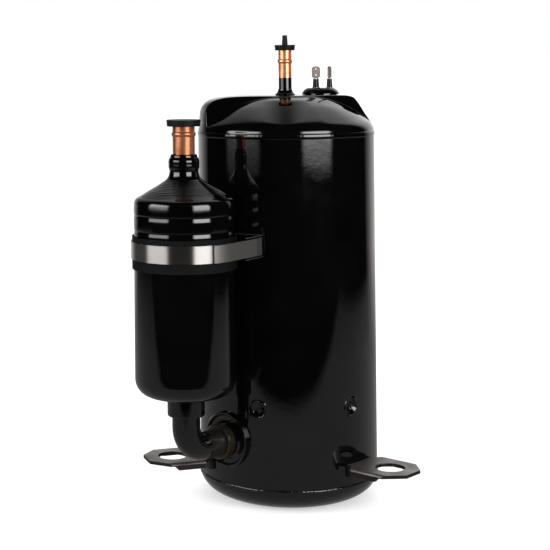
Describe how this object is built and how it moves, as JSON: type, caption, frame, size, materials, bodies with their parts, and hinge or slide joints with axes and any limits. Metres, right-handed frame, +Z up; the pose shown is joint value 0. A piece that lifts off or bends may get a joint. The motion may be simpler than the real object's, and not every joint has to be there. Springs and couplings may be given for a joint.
{
  "type": "rotary compressor",
  "caption": "Tall sealed cylindrical refrigeration rotary compressor with a strapped side accumulator, suction elbow, top discharge stub, electrical terminal and radial mounting feet.",
  "frame": {"origin": "centre of the flat underside of the bottom cap, on the shell's axis", "axes": "+Z up along the shell's axis towards the discharge stub, -Y towards the front, +X to the right when seen from the front; the accumulator stands front left"},
  "size_m": [0.2094, 0.238, 0.3551],
  "materials": {
    "black_paint": "gloss black baked paint",
    "bare_steel": "bare pressed steel, slightly brown",
    "stainless": "bright stainless strip",
    "copper": "bare copper tube, painted black at its foot",
    "black_rubber": "matt black rubber",
    "grey_rubber": "dark grey moulded plug",
    "glass": "dark green sealing glass",
    "insulator": "dark glazed insulator",
    "tab_metal": "plated copper alloy",
    "machined_iron": "machined cast iron",
    "lamination": "stacked steel laminations",
    "magnet_wire": "varnished copper winding",
    "paper": "polyester slot liner",
    "aluminium": "cast aluminium",
    "hard_steel": "ground hardened steel",
    "plain_steel": "plain steel",
    "lead": "sleeved lead wire",
    "nylon": "off-white moulded block",
    "mesh": "woven steel mesh, solid here"
  },
  "bodies": {
    "housing": {"accumulator_bracket": "stainless", "accumulator_shell": "black_paint", "accumulator_strap": "stainless", "baffle_plate": "plain_steel", "bottom_cap": "black_paint", "bottom_seam_weld": "black_paint", "cylinder_block": "machined_iron", "discharge_collar": "black_paint", "discharge_stub": "copper", "elbow_collar": "black_paint", "foot_left": "bare_steel", "foot_rear": "bare_steel", "foot_right": "bare_steel", "inlet_stub": "copper", "lead_connector": "nylon", "lead_wires": "lead", "main_bearing": "machined_iron", "main_shell": "black_paint", "muffler_cover": "plain_steel", "pin_insulators": "insulator", "plug_welds": "black_paint", "pump_bolts": "plain_steel", "slot_liners": "paper", "standpipe": "plain_steel", "stator_core": "lamination", "stator_windings": "magnet_wire", "strainer_screen": "mesh", "strap_rubber_band": "black_rubber", "sub_bearing": "machined_iron", "suction_elbow": "black_paint", "suction_liner": "copper", "suction_port_boss": "black_paint", "terminal_cup": "black_paint", "terminal_glass": "glass", "terminal_pins": "plain_steel", "terminal_tabs": "tab_metal", "top_cap": "black_paint", "top_seam_weld": "black_paint", "valve_rivet": "plain_steel", "valve_stop": "plain_steel", "vane_spring": "hard_steel"},
    "rotor": {"crankshaft": "machined_iron", "oil_paddle": "plain_steel", "rotor_core": "lamination", "rotor_cage": "aluminium", "lower_balance_weight": "plain_steel", "upper_balance_weight": "plain_steel", "rotor_rivets": "plain_steel"},
    "roller": {"roller": "hard_steel"},
    "vent_plug": {"vent_plug": "plain_steel"},
    "vane": {"vane": "hard_steel"},
    "reed": {"discharge_reed": "hard_steel"},
    "discharge_plug": {"discharge_plug": "grey_rubber"},
    "inlet_plug": {"inlet_plug": "grey_rubber"}
  },
  "joints": [
    {"name": "crankshaft_spin", "type": "hinge", "parent": "housing", "child": "rotor", "pos_m": [0, 0, 0.1], "axis": [0, 0, 1], "continuous": true, "deforming": ["vane_spring"]},
    {"name": "roller_roll", "type": "hinge", "parent": "rotor", "child": "roller", "pos_m": [-0.00152, -0.00476, 0.052], "axis": [0, 0, 1], "continuous": true},
    {"name": "vent_plug_turn", "type": "hinge", "parent": "rotor", "child": "vent_plug", "pos_m": [-0.00076, -0.00238, 0.2038], "axis": [0, 0, 1], "continuous": true},
    {"name": "vane_stroke", "type": "hinge", "parent": "vent_plug", "child": "vane", "pos_m": [-0.00152, -0.00476, 0.052], "axis": [0, 0, 1], "continuous": true},
    {"name": "reed_lift", "type": "hinge", "parent": "housing", "child": "reed", "pos_m": [0.02661, -0.0222, 0.072], "axis": [-0.0698, 0.9976, 0], "range_deg": [0, 5], "deforming": ["discharge_reed"]},
    {"name": "discharge_plug_pull", "type": "slide", "parent": "housing", "child": "discharge_plug", "axis": [0, 0, 1], "range_m": [0, 0.06]},
    {"name": "inlet_plug_pull", "type": "slide", "parent": "housing", "child": "inlet_plug", "axis": [0, 0, 1], "range_m": [0, 0.06]}
  ],
  "couplings": [
    {"joint": "roller_roll", "follows": "crankshaft_spin", "ratio": -1.2289},
    {"joint": "vent_plug_turn", "follows": "crankshaft_spin", "ratio": -2},
    {"joint": "vane_stroke", "follows": "crankshaft_spin", "ratio": 1}
  ]
}
